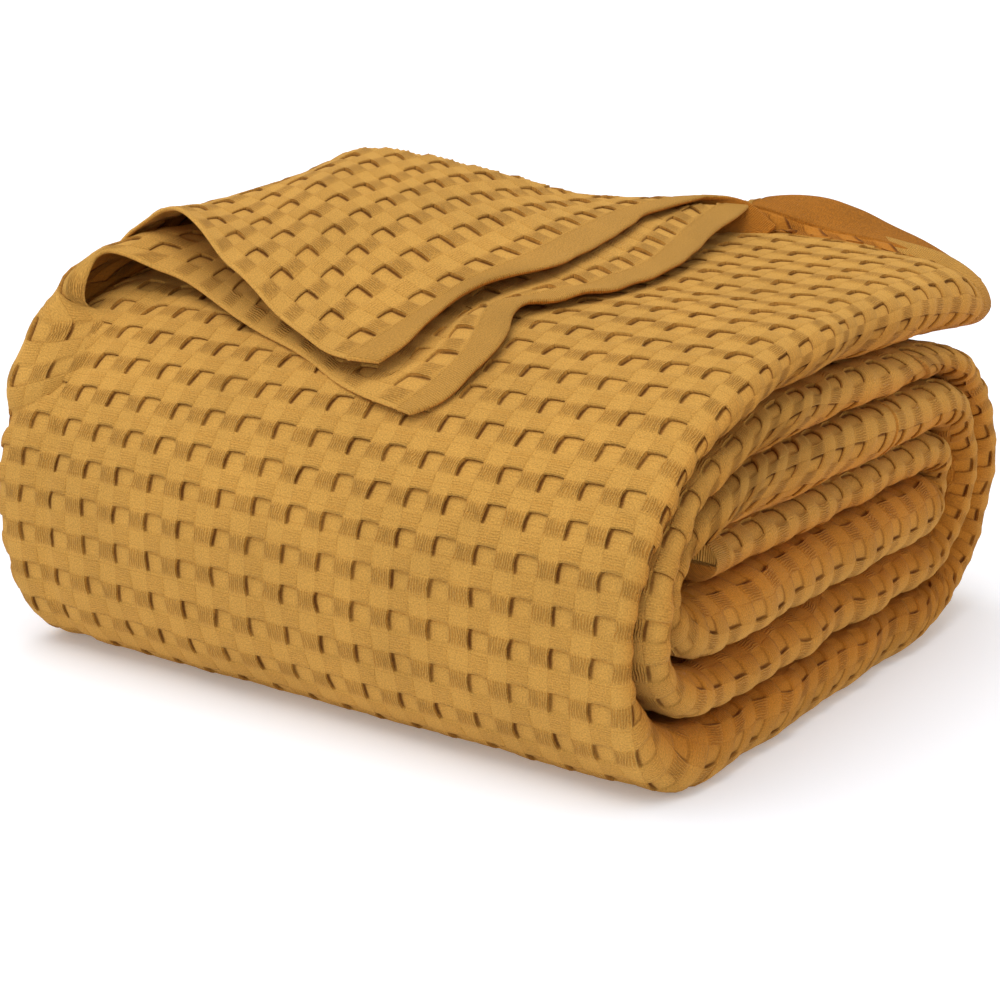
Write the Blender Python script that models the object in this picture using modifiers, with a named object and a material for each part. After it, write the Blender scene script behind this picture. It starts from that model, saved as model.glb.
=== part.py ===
"""Waffle weave cotton blanket, folded lengthwise to a strip, then rolled up flat.

The strip is wound into a flattened roll of seven stacked runs whose folded edges show as
ridges at both ends. The top corner of the roll's outer end, two sheets thick, is turned
over towards the front left, with its hems on top. The blanket is one cloth, so it is one
solid: the wound strip, joined to the two turned-over sheets where they leave it.

X runs along the roll, +X to the end that shows the spiral; the front faces -Y; +Z is up.
"""
import math

import bpy
import numpy as np

MM = 0.001

NODE_NAME = "blanket"

# Driving sizes of the cloth, in millimetres.
STRIP_WIDTH = 300.0         # the blanket's 2400 mm width folded in eight
SHEET_THICKNESS = 3.0       # one waffle weave sheet
NOSE_POINTS = 8             # points round one folded edge of the strip
NOSE_POWER = 0.9            # the folded edges' round section, 1 is an ellipse
STATION_SPACING = 27.0      # mesh steps along a straight run
FACE_SHARES = (0.2, 0.4, 0.6, 0.8)      # mesh columns between the two folded edges

# The stacked runs of the strip, in the order of the winding from the inner end outwards.
# low, high, high_back: heights (Z) of the lower face, and of the upper one at the front and
# at the back. front, front_in, back, back_in: where the outer and the inner face of the
# winding start and stop being straight (Y). right, left: how far each folded edge keeps short
# of half the strip's width (X). round_right, round_left: how far it takes to round off.
# droop: how far the right edge hangs down.
RUNS = [
    dict(name="fourth", low=69.5, high=84.5, high_back=84.5, front=-111, front_in=-111,
         back=75, back_in=76, right=3, left=3, round_right=11, round_left=11, droop=0),
    dict(name="fifth", low=42.2, high=67.9, high_back=67.9, front=-100, front_in=-113,
         back=75, back_in=76, right=0, left=2, round_right=14, round_left=14, droop=0),
    dict(name="third", low=86.2, high=106.2, high_back=106.2, front=-60, front_in=-112,
         back=71, back_in=79, right=0, left=2, round_right=13, round_left=13, droop=0),
    dict(name="sixth", low=21.9, high=40.4, high_back=40.4, front=-98, front_in=-103,
         back=71, back_in=79, right=2, left=3, round_right=13, round_left=13, droop=0),
    dict(name="second", low=107.8, high=123.4, high_back=123.4, front=-34, front_in=-82,
         back=48, back_in=75, right=3, left=0, round_right=12, round_left=14, droop=0),
    dict(name="bottom", low=0.0, high=20.1, high_back=20.1, front=-119, front_in=-102,
         back=48, back_in=75, right=0, left=9, round_right=10, round_left=18, droop=0),
    dict(name="top", low=125.2, high=143.5, high_back=154.0, front=6, front_in=-46,
         back=144, back_in=144, right=4, left=3, round_right=23, round_left=23, droop=0),
]
TOP_CORNER = dict(right=4, left=3, round_right=30, round_left=23, droop=18)
DROOP_FROM = 45.0           # where the top run starts to hang down towards its right edge (X)

# The turns between one run and the next. outer, inner: reach of the two faces (Y) at the
# height middle (Z); power: 1 is an ellipse, less is squarer; steps: mesh steps to a quarter;
# the other columns are as for a run, at the middle of the turn.
TURNS = [
    dict(name="back of fourth", outer=102, inner=80, middle=67.0, power=0.92, steps=4,
         right=4, left=3, round_right=11, round_left=11, droop=0),
    dict(name="front of fifth", outer=-132.0, inner=-125.5, middle=69.2, power=0.92, steps=5,
         right=5, left=4, round_right=6, round_left=6, droop=0),
    dict(name="back of third", outer=123.5, inner=105, middle=64.0, power=0.92, steps=6,
         right=2, left=2, round_right=12, round_left=12, droop=0),
    dict(name="front of sixth", outer=-142.4, inner=-134.9, middle=60.8, power=0.92, steps=7,
         right=4, left=6, round_right=7, round_left=7, droop=0),
    dict(name="back of second", outer=149.5, inner=126.5, middle=61.0, power=0.96, steps=7,
         right=4, left=2, round_right=14, round_left=14, droop=0),
    dict(name="front of the roll", outer=-149.5, inner=-144.4, middle=55.0, power=0.88,
         steps=9, right=13, left=8, round_right=9, round_left=9, droop=0),
]
EDGE_KEYS = ("right", "left", "round_right", "round_left", "droop")

# The turned-over corner: ribs across its two sheets, from the roll's left end to the hem.
# ridge: top of the fold, crease: where the sheet starts to slope, front: its front edge.
UPPER_SHEET = [
    dict(ridge=(-135.5, -8.5, 162.5), crease=(-134.5, -42, 161.5),
         slope=(-133, -58.5, 161), front=(-132, -71.5, 160)),
    dict(ridge=(-117.5, 8.5, 171), crease=(-105, -25, 169),
         slope=(-88, -65, 158.5), front=(-71.5, -93.5, 148.5)),
    dict(ridge=(-93.5, 21, 182.5), crease=(-79.5, -12.5, 176),
         slope=(-58.5, -63, 157.5), front=(-38, -103, 133)),
    dict(ridge=(-52.5, 44, 175.5), crease=(-46, 6.5, 172),
         slope=(-29.5, -54.5, 155.5), front=(-14.5, -110, 126)),
    dict(ridge=(-12.5, 75.5, 164.5), crease=(-10.5, 35.5, 163.5),
         slope=(2, -35.5, 152), front=(6.5, -113.5, 125)),
    dict(ridge=(23, 98.5, 165.5), crease=(25, 52.5, 160.5),
         slope=(14.5, -38, 149.5), front=(14.5, -103, 128.5)),
]
LOWER_SHEET = [
    dict(ridge=(-136.5, -14.5, 152), crease=(-136.5, -46, 151.5),
         slope=(-137.5, -69, 150), front=(-139.5, -92.5, 145)),
    dict(ridge=(-117.5, 1, 159.5), crease=(-113.5, -29.5, 156.5),
         slope=(-111, -56.5, 149), front=(-113.5, -84, 138)),
    dict(ridge=(-92.5, 14.5, 171), crease=(-82, -17, 164.5),
         slope=(-73.5, -56.5, 150), front=(-65, -96.5, 129)),
    dict(ridge=(-52.5, 36.5, 167), crease=(-44, 2, 160.5),
         slope=(-27.5, -54.5, 145), front=(-25, -107, 121.5)),
    dict(ridge=(-10.5, 67, 158.5), crease=(-4, 31.5, 155.5),
         slope=(8.5, -35.5, 144), front=(10.5, -119.5, 115.5)),
    dict(ridge=(42, 117.5, 162.5), crease=(40, 63, 153),
         slope=(46, -31.5, 146), front=(32.5, -121.5, 115.5)),
]

# The strip's left folded edge puffs up under each turned-over sheet and closes its left end:
# sections along each puffed fold, from the back to the front.
LEFT_FOLDS = dict(
    left_fold_low=[
        dict(centre=(-139.5, -10, 146), half_width=5, half_height=8),
        dict(centre=(-142, -48, 142), half_width=5.5, half_height=10),
        dict(centre=(-142.5, -76, 137.5), half_width=5.5, half_height=11),
        dict(centre=(-142, -94, 131), half_width=5.5, half_height=12),
        dict(centre=(-140, -110, 118), half_width=5, half_height=8),
    ],
    left_fold_high=[
        dict(centre=(-134, -10, 157), half_width=4, half_height=6),
        dict(centre=(-134.5, -44, 156.5), half_width=4.5, half_height=6.5),
        dict(centre=(-134, -68, 155), half_width=4, half_height=6),
    ],
)
FOLD_SIDES = 12             # mesh sides round a puffed fold
FOLD_BACK = (-0.54, 0.84)  # direction in plan in which the fold's ridge bulges away
FOLD_BULGE = 8.0            # how far the fold bulges behind its ridge
ROOT_DEPTH = 3.5            # how deep a turned-over sheet runs into the roll it leaves
CURVE_STEPS = 24            # steps to read the roll's top off its curve
RIB_STEPS = 4               # mesh steps between two ribs
EDGE_STEPS = 4              # mesh steps between two of a rib's points

BLANKET_COLOUR = (0.565, 0.305, 0.068, 1.0)     # mustard, linear
BLANKET_ROUGHNESS = 0.9


def remove_scene_objects():
    for item in list(bpy.data.objects):
        bpy.data.objects.remove(item, do_unlink=True)


def new_collection(name):
    collection = bpy.data.collections.new(name)
    bpy.context.scene.collection.children.link(collection)
    return collection


def cotton_material():
    material = bpy.data.materials.new("waffle_cotton")
    material.use_nodes = True
    shader = material.node_tree.nodes["Principled BSDF"]
    shader.inputs["Base Color"].default_value = BLANKET_COLOUR
    shader.inputs["Roughness"].default_value = BLANKET_ROUGHNESS
    shader.inputs["Metallic"].default_value = 0.0
    return material


def quarter(start, bulge, middle, power, steps):
    """Points of a quarter of a superellipse from a run's face (start) to a turn's reach."""
    angles = np.linspace(0.0, math.pi / 2, steps + 1)
    y = start[0] + (bulge - start[0]) * np.sin(angles) ** power
    z = middle + (start[1] - middle) * np.cos(angles).clip(0.0) ** power
    return np.stack([y, z], axis=1)


def turn_face(leave, enter, turn, reach):
    """One face of a turn: a quarter curve out to its reach, then one back to the next run."""
    out = quarter(leave, reach, turn["middle"], turn["power"], turn["steps"])
    back = quarter(enter, reach, turn["middle"], turn["power"], turn["steps"])[::-1]
    return np.concatenate([out[:-1], back])


def run_ends(run, heads_back):
    """(outer, inner) face points where a run starts and where it stops."""
    if heads_back:
        start = (run["front"], run["high"]), (run["front_in"], run["low"])
        stop = (run["back"], run["high_back"]), (run["back_in"], run["low"])
    else:
        start = (run["back"], run["low"]), (run["back_in"], run["high"])
        stop = (run["front"], run["low"]), (run["front_in"], run["high"])
    return start, stop


def smooth_step(share):
    return share * share * (3 - 2 * share)


def late_step(share):
    """Stays near 0 over the run below, and grows towards the roll's back."""
    return share ** 3


def winding():
    """Stations along the wound strip: outer and inner face points (Y, Z) and its edges."""
    outer, inner, edges = [], [], []

    def add(outer_points, inner_points, first, last, ease=smooth_step):
        blend = ease(np.linspace(0.0, 1.0, len(outer_points)))
        outer.extend(outer_points)
        inner.extend(inner_points)
        for weight in blend:
            edges.append([first[key] * (1 - weight) + last[key] * weight for key in EDGE_KEYS])

    for index, run in enumerate(RUNS):
        heads_back = index % 2 == 0
        start, stop = run_ends(run, heads_back)
        steps = max(3, round(abs(stop[0][0] - start[0][0]) / STATION_SPACING))
        share = np.linspace(0.0, 1.0, steps + 1)[:, None]
        outer_run = np.array(start[0]) * (1 - share) + np.array(stop[0]) * share
        inner_run = np.array(start[1]) * (1 - share) + np.array(stop[1]) * share
        if run is RUNS[-1]:
            add(outer_run, inner_run, run, TOP_CORNER, late_step)
            break
        add(outer_run[:-1], inner_run[:-1], run, run)
        turn, following = TURNS[index], RUNS[index + 1]
        enter, _ = run_ends(following, not heads_back)
        outer_turn = turn_face(stop[0], enter[0], turn, turn["outer"])
        inner_turn = turn_face(stop[1], enter[1], turn, turn["inner"])
        half = turn["steps"]
        add(outer_turn[:half], inner_turn[:half], run, turn)
        add(outer_turn[half:-1], inner_turn[half:-1], turn, following)
    return np.array(outer), np.array(inner), np.array(edges)


def rounded_edge(edge_x, inwards, round_off, angle):
    """X of a point round a folded edge, at an angle up from the middle of the strip."""
    return edge_x + inwards * round_off * (1 - max(math.cos(angle), 0.0) ** NOSE_POWER)


def ring(outer_point, inner_point, edge, thinness=1.0, shift=0.0):
    """One closed section of the strip: its two faces, and its folded edges rounded off."""
    short_right, short_left, round_right, round_left, droop = edge
    right, left = STRIP_WIDTH / 2 - short_right, short_left - STRIP_WIDTH / 2
    centre = (outer_point + inner_point) / 2
    half = (outer_point - inner_point) / 2 * thinness
    angles = np.linspace(math.pi / 2, -math.pi / 2, NOSE_POINTS)
    span_right, span_left = right - round_right, left + round_left
    columns = [span_left + (span_right - span_left) * share for share in FACE_SHARES]
    section = [(rounded_edge(right, -1, round_right, angle), math.sin(angle)) for angle in angles]
    section += [(x, -1.0) for x in columns[::-1]]
    section += [(rounded_edge(left, 1, round_left, angle), math.sin(angle)) for angle in angles[::-1]]
    section += [(x, 1.0) for x in columns]
    points = []
    for x, side in section:
        y, z = centre + half * side
        hang = max(x - DROOP_FROM, 0.0) / (right - DROOP_FROM)
        points.append((x, y + shift, z - droop * hang * hang))
    return points


def wound_strip(collection):
    """The strip lofted along the winding, closed at its inner and outer ends."""
    outer, inner, edges = winding()
    rings = []
    # Both ends of the strip are rounded off by rings that shrink towards its middle.
    for back_off, thinness in ((8.0, 0.35), (6.5, 0.65), (3.5, 0.9)):
        rings.append(ring(outer[0], inner[0], edges[0], thinness, -back_off))
    for outer_point, inner_point, edge in zip(outer, inner, edges):
        rings.append(ring(outer_point, inner_point, edge))
    for step_on, thinness in ((4.0, 0.94), (5.5, 0.8)):
        rings.append(ring(outer[-1], inner[-1], edges[-1], thinness, step_on))
    count = len(rings[0])
    vertices = [tuple(value * MM for value in point) for section in rings for point in section]
    faces = []
    for row in range(len(rings) - 1):
        base, ahead = row * count, (row + 1) * count
        for column in range(count):
            following = (column + 1) % count
            faces.append((base + column, base + following, ahead + following, ahead + column))
    faces.append(tuple(range(count))[::-1])
    faces.append(tuple(range(len(vertices) - count, len(vertices))))
    mesh = bpy.data.meshes.new(NODE_NAME)
    mesh.from_pydata(vertices, [], faces)
    mesh.update()
    strip = bpy.data.objects.new(NODE_NAME, mesh)
    collection.objects.link(strip)
    return strip


def smooth_through(points, steps):
    """Catmull-Rom curve through the points (rows of an array), steps to each span."""
    padded = np.concatenate([[2 * points[0] - points[1]], points, [2 * points[-1] - points[-2]]])
    share = np.linspace(0.0, 1.0, steps, endpoint=False)
    share = share.reshape(-1, *([1] * (points.ndim - 1)))
    pieces = []
    for index in range(len(points) - 1):
        before, start, stop, after = padded[index:index + 4]
        pieces.append(0.5 * (2 * start + (stop - before) * share
                             + (2 * before - 5 * start + 4 * stop - after) * share ** 2
                             + (3 * start - before - 3 * stop + after) * share ** 3))
    pieces.append(points[-1:])
    return np.concatenate(pieces)


def top_height(y):
    """Height of the roll's upper face at a place along Y."""
    top = RUNS[-1]
    turn = TURNS[-1]
    start = (top["front"], top["high"])
    curve = quarter(start, turn["outer"], turn["middle"], turn["power"], CURVE_STEPS)[::-1]
    if y >= top["front"]:
        share = (y - top["front"]) / (top["back"] - top["front"])
        return top["high"] + share * (top["high_back"] - top["high"])
    return float(np.interp(y, curve[:, 0], curve[:, 1]))


def turned_sheet(name, ribs, collection):
    """A turned-over sheet: up out of the roll, round the fold, and forward over the top."""
    rows = []
    for rib in ribs:
        ridge = np.array(rib["ridge"], float)
        ground = top_height(ridge[1])
        height = ridge[2] - ground
        back = np.array([*FOLD_BACK, 0.0]) * FOLD_BULGE
        root = np.array([ridge[0], ridge[1], ground - ROOT_DEPTH])
        bulge = np.array([ridge[0], ridge[1], ground + 0.45 * height]) + back
        rows.append([root, bulge, ridge, np.array(rib["crease"], float),
                     np.array(rib["slope"], float), np.array(rib["front"], float)])
    net = np.array(rows)
    grid = smooth_through(net, RIB_STEPS)
    grid = smooth_through(grid.transpose(1, 0, 2), EDGE_STEPS).transpose(1, 0, 2)
    across, along = grid.shape[:2]
    vertices = [tuple(point * MM) for point in grid.reshape(-1, 3)]
    faces = []
    for row in range(across - 1):
        for column in range(along - 1):
            corner = row * along + column
            faces.append((corner, corner + along, corner + along + 1, corner + 1))
    mesh = bpy.data.meshes.new(name)
    mesh.from_pydata(vertices, [], faces)
    mesh.update()
    sheet = bpy.data.objects.new(name, mesh)
    collection.objects.link(sheet)
    sheet.hide_render = True
    sheet.display_type = 'WIRE'
    solidify = sheet.modifiers.new("sheet", 'SOLIDIFY')
    solidify.thickness = SHEET_THICKNESS * MM
    solidify.offset = 0.0
    solidify.use_even_offset = True
    return sheet


def puffed_fold(name, sections, collection):
    """A closed fold: ellipses across X and Z, carried along a smooth line from back to front."""
    table = np.array([[*section["centre"], section["half_width"], section["half_height"]]
                      for section in sections], float)
    smooth = smooth_through(table, EDGE_STEPS)
    turns = np.linspace(0.0, 2 * math.pi, FOLD_SIDES, endpoint=False)
    vertices = [((x + wide * math.cos(turn)) * MM, y * MM, (z + tall * math.sin(turn)) * MM)
                for x, y, z, wide, tall in smooth for turn in turns]
    faces = []
    for row in range(len(smooth) - 1):
        for side in range(FOLD_SIDES):
            following = (side + 1) % FOLD_SIDES
            low, high = row * FOLD_SIDES, (row + 1) * FOLD_SIDES
            faces.append((low + side, low + following, high + following, high + side))
    faces.append(tuple(range(FOLD_SIDES))[::-1])
    faces.append(tuple(range(len(vertices) - FOLD_SIDES, len(vertices))))
    mesh = bpy.data.meshes.new(name)
    mesh.from_pydata(vertices, [], faces)
    mesh.update()
    fold = bpy.data.objects.new(name, mesh)
    collection.objects.link(fold)
    fold.hide_render = True
    fold.display_type = 'WIRE'
    return fold


def join(target, addition):
    union = target.modifiers.new("join_" + addition.name, 'BOOLEAN')
    union.operation = 'UNION'
    union.solver = 'EXACT'
    union.use_self = True       # the second sheet crosses the first where they leave the roll
    union.object = addition


def main():
    remove_scene_objects()
    model = new_collection("waffle_blanket")
    cutters = new_collection("joined_shapes")
    strip = wound_strip(model)
    strip.data.materials.append(cotton_material())
    join(strip, turned_sheet("lower_sheet", LOWER_SHEET, cutters))
    join(strip, turned_sheet("upper_sheet", UPPER_SHEET, cutters))
    for name, sections in LEFT_FOLDS.items():
        join(strip, puffed_fold(name, sections, cutters))


main()
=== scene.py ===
"""Waffle weave cotton blanket: the visual model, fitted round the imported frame.

The blanket is folded lengthwise to a strip and rolled up flat, and the corner of its outer end,
two sheets thick, is turned over on top. Every skin here is a grid laid out on the cells of the
weave, so that the walls of each pocket lie on grid lines. Lengths are in millimetres until a
mesh is made.

X runs along the roll, +X to the end that shows the spiral; the front faces -Y; +Z is up.
"""
import math

import bpy
import numpy as np
from mathutils import Matrix, Vector


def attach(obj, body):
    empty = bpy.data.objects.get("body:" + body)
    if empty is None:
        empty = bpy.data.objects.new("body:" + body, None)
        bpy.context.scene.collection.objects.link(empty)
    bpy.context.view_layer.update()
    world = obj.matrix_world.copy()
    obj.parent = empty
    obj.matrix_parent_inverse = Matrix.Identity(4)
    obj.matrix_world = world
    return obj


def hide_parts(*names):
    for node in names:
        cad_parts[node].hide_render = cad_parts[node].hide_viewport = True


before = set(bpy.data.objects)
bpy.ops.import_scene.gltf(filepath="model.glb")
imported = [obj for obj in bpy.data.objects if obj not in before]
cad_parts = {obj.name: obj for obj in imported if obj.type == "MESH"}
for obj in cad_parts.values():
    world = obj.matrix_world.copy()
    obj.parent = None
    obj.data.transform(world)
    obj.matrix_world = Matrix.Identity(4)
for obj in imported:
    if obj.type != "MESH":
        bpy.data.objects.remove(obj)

bl_info = {
    "name": "Waffle weave blanket",
    "version": (1, 0, 0),
    "blender": (4, 5, 0),
    "location": "3D View > Sidebar > Blanket",
    "description": "Builds a rolled waffle weave cotton blanket with a turned-over corner",
    "category": "Object",
}

MM = 0.001
NODE = "blanket"
BODY = "root"


def table(keys, *rows):
    """Rows of values as dicts, under keys that one string names."""
    return [dict(zip(keys.split(), row)) for row in rows]


# ---- The wound strip ----

STRIP_WIDTH = 300.0         # the blanket's 2400 mm width folded in eight
NOSE_POWER = 0.9            # the folded edges' round section, 1 is an ellipse
DROOP_FROM = 45.0           # where the top run starts to hang down towards its right edge (X)

# The stacked runs of the strip, in the order of the winding from the inner end outwards and
# named by their place from the top. low, high, high_back: heights (Z) of the lower face, and
# of the upper one at the front and at the back. front, front_in, back, back_in: where the outer
# and the inner face of the winding start and stop being straight (Y). right, left: how far each
# folded edge keeps short of half the strip's width (X). round_right, round_left: how far it
# takes to round off.
RUNS = table(
    "low high high_back front front_in back back_in right left round_right round_left",
    (69.5, 84.5, 84.5, -111, -111, 75, 76, 3, 3, 11, 11),           # fourth
    (42.2, 67.9, 67.9, -100, -113, 75, 76, 0, 2, 14, 14),           # fifth
    (86.2, 106.2, 106.2, -60, -112, 71, 79, 0, 2, 13, 13),          # third
    (21.9, 40.4, 40.4, -98, -103, 71, 79, 2, 3, 13, 13),            # sixth
    (107.8, 123.4, 123.4, -34, -82, 48, 75, 3, 0, 12, 14),          # second
    (0.0, 20.1, 20.1, -119, -102, 48, 75, 0, 9, 10, 18),            # bottom
    (125.2, 143.5, 154.0, 6, -46, 144, 144, 4, 3, 23, 23),          # top
)
# The same at the top run's outer end. droop: how far it hangs down at its right edge.
TOP_CORNER = dict(right=10, left=3, round_right=26, round_left=23, droop=14)

# The turns between one run and the next. outer, inner: reach of the two faces (Y) at the
# height middle (Z); power: 1 is an ellipse, less is squarer; the other columns are as for a
# run, at the middle of the turn.
TURNS = table(
    "outer inner middle power right left round_right round_left",
    (102, 80, 67.0, 0.92, 4, 3, 11, 11),                            # back of fourth
    (-132.0, -125.5, 69.2, 0.92, 5, 4, 6, 6),                       # front of fifth
    (123.5, 105, 64.0, 0.92, 2, 2, 12, 12),                         # back of third
    (-142.4, -134.9, 60.8, 0.92, 4, 6, 7, 7),                       # front of sixth
    (149.5, 126.5, 61.0, 0.96, 4, 2, 14, 14),                       # back of second
    (-149.5, -144.4, 55.0, 0.88, 13, 8, 9, 9),                      # front of the roll
)
EDGE_KEYS = ("right", "left", "round_right", "round_left", "droop")
RUN_STEPS = 70              # steps along a run, before the path is evened out
QUARTER_STEPS = 60          # steps along a quarter of a turn
PATH_STEP = 1.0             # spacing of the evened path
PATH_SOFTNESS = 4           # spread of the blur that takes the kinks out of the path
NOSE_STEPS = 41             # steps round a folded edge

# ---- The weave ----

PITCH = 15.79               # one cell of the weave: the strip is 19 cells wide
FIRST_COLUMN = -3.13        # a pocket's left lip (X), near the middle of the strip
HEM_WIDTH = 12.5            # the plain woven band along the hemmed end

# Where the rows of cells lie along the strip's path: a row's number and its place. The cloth is
# drawn together a little where it turns at the front.
ROW_MARKS = ((0.0, 0.0), (111.5, 1761.0), (114.5, 1809.0), (118.5, 1866.0), (130.5, 2058.0),
             (136.5, 2152.7))

# One cell across, from a pocket's left lip: share of the pitch, height through the row of
# pockets and floats, height through the row of smooth squares, lean to the right, how far a
# pocket's side is drawn out at its middle, and how much painted shade the pocket gets there.
ACROSS = table(
    "share pocket smooth lean bow shade",
    (0.000, 0.45, 0.10, 0.30, -0.50, 0.0),
    (0.012, -1.00, 0.08, -0.35, -0.50, 1.0),
    (0.048, -0.80, 0.02, -0.1, -0.35, 0.95),
    (0.090, -0.58, 0.05, 0.0, -0.15, 0.10),
    (0.240, -0.45, 0.10, 0.0, 0.0, 0.0),
    (0.360, -0.38, 0.10, 0.0, 0.15, 0.0),
    (0.470, -0.28, 0.0, 0.0, 0.45, 0.1),
    (0.500, 0.10, -0.06, -0.1, 0.40, 0.0),
    (0.600, 0.30, 0.04, 0.0, 0.15, 0.0),
    (0.740, 0.38, 0.08, 0.0, 0.0, 0.0),
    (0.880, 0.42, 0.04, 0.05, -0.15, 0.0),
    (0.960, 0.50, 0.08, 0.20, -0.35, 0.0),
)
# The same cell along the strip, from a pocket's near edge: how much of the pocket's depth
# there is, how much of the floats' lift, extra height and lean beside the pocket's far lip,
# how far a pocket's end is drawn out at its middle, and how much painted shade the pocket gets.
ALONG = table(
    "share depth lift lip lean bow shade",
    (0.000, 0.10, 0.12, 0.10, 0.0, -0.25, 0.0),
    (0.025, 0.70, 0.45, -0.05, 0.0, -0.25, 0.1),
    (0.110, 0.92, 0.90, 0.0, 0.0, -0.1, 0.0),
    (0.250, 1.0, 1.0, 0.0, 0.0, 0.0, 0.0),
    (0.370, 1.0, 0.95, -0.05, 0.0, 0.1, 0.0),
    (0.460, 1.0, 0.60, -0.12, 0.05, 0.25, 0.10),
    (0.486, 1.0, 0.40, -0.30, 0.25, 0.35, 0.95),
    (0.500, 0.0, 0.12, 0.22, -0.25, 0.35, 0.0),
    (0.590, 0.0, 0.0, 0.20, -0.1, 0.15, 0.0),
    (0.750, 0.0, 0.0, 0.10, 0.0, 0.0, 0.0),
    (0.900, 0.0, 0.0, 0.06, 0.0, 0.0, 0.0),
)
POCKET_END = 0.49           # share of the pitch where a pocket ends and the floats begin
ROW_END = 0.5               # share of the pitch, along, where a row of pockets ends
DRAWN_CELLS = 64            # cells each way before the draws for them repeat
RELIEF_VARIES = 0.22        # how much the relief varies from cell to cell
LEAN_VARIES = 0.4
# How much the painted shade in the pockets varies from cell to cell, and how far it spreads
SHADE_VARIES = 0.3
SHADE_SPREAD = 0.35         # the less, the further a pocket's painted shade spreads towards its ends
SCALLOP = 0.6               # how far the smooth rows stand out round a folded edge
NOTCH = 0.25                # how far the rows of pockets draw in there
NOSE_RELIEF = -0.2          # share by which the relief is stronger there, or weaker below 0
FINE_CELLS = (-12, 12)      # cells across that show, counted from the strip's middle
NOSE_CELLS = 4              # cells at each end of them that lie near a folded edge
PLAIN_SHARE = 0.75          # where a hidden cell's one column of points lies
INNER_COLUMNS = 10          # columns across the middle of the hidden inner face
WAVES = 9                   # sine waves that make up an unevenness
WAVE_LENGTHS = (0.7, 1.7)   # the range of their lengths, as a share of the one that is stated
WAVES_REACH = 1.4           # how far their sum reaches, over the root of their number


def wander(across, along, length, seed):
    """Smooth unevenness from about -1 to 1: seeded sine waves in all directions, added up."""
    draw = np.random.default_rng(seed)
    total = 0.0
    for _ in range(WAVES):
        heading = draw.uniform(0, 2 * math.pi)
        rate = 2 * math.pi / (length * draw.uniform(*WAVE_LENGTHS))
        phase = draw.uniform(0, 2 * math.pi)
        total = total + np.sin(rate * (across * math.cos(heading) + along * math.sin(heading)) + phase)
    return total / math.sqrt(WAVES) / WAVES_REACH


def column(rows, key):
    """One named column of a table as an array."""
    return np.array([row[key] for row in rows], float)


def through(rows, shares, key):
    """A column of a cell's table at shares of the pitch; the next cell starts as this one does."""
    places = np.append(column(rows, "share"), 1.0)
    return np.interp(shares, places, np.append(column(rows, key), rows[0][key]))


def edge_values(row):
    """The five edge values of a run, a turn or the top corner. Only that one droops."""
    return np.array([row.get(key, 0) for key in EDGE_KEYS])


def unit(vectors):
    """Vectors made one long."""
    return vectors / np.linalg.norm(vectors, axis=-1, keepdims=True).clip(1e-9)


def quarter(start, bulge, middle, power):
    """Points of a quarter superellipse: y = start + reach sin^p, z = middle + rise cos^p."""
    angles = np.linspace(0.0, math.pi / 2, QUARTER_STEPS + 1)
    y = start[0] + (bulge - start[0]) * np.sin(angles) ** power
    z = middle + (start[1] - middle) * np.cos(angles).clip(0.0) ** power
    return np.stack([y, z], axis=1)


def turn_face(leave, enter, turn, reach):
    """One face of a turn: a quarter curve out to its reach, then one back to the next run."""
    out = quarter(leave, reach, turn["middle"], turn["power"])
    back = quarter(enter, reach, turn["middle"], turn["power"])[::-1]
    return np.concatenate([out[:-1], back])


def run_ends(run, heads_back):
    """(outer, inner) face points where a run starts and where it stops."""
    if heads_back:
        start = (run["front"], run["high"]), (run["front_in"], run["low"])
        stop = (run["back"], run["high_back"]), (run["back_in"], run["low"])
    else:
        start = (run["back"], run["low"]), (run["back_in"], run["high"])
        stop = (run["front"], run["low"]), (run["front_in"], run["high"])
    return start, stop


def softened(values, spread):
    """The rows of an array blurred along its length, ends held: each is the mean of those
    within three spreads, weighted with a bell curve."""
    reach = 3 * spread
    bell = np.exp(-0.5 * (np.arange(-reach, reach + 1) / spread) ** 2)
    bell /= bell.sum()
    padded = np.pad(values, ((reach, reach), (0, 0)), mode="edge")
    return np.stack([np.convolve(line, bell, mode="valid") for line in padded.T], 1)


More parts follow.
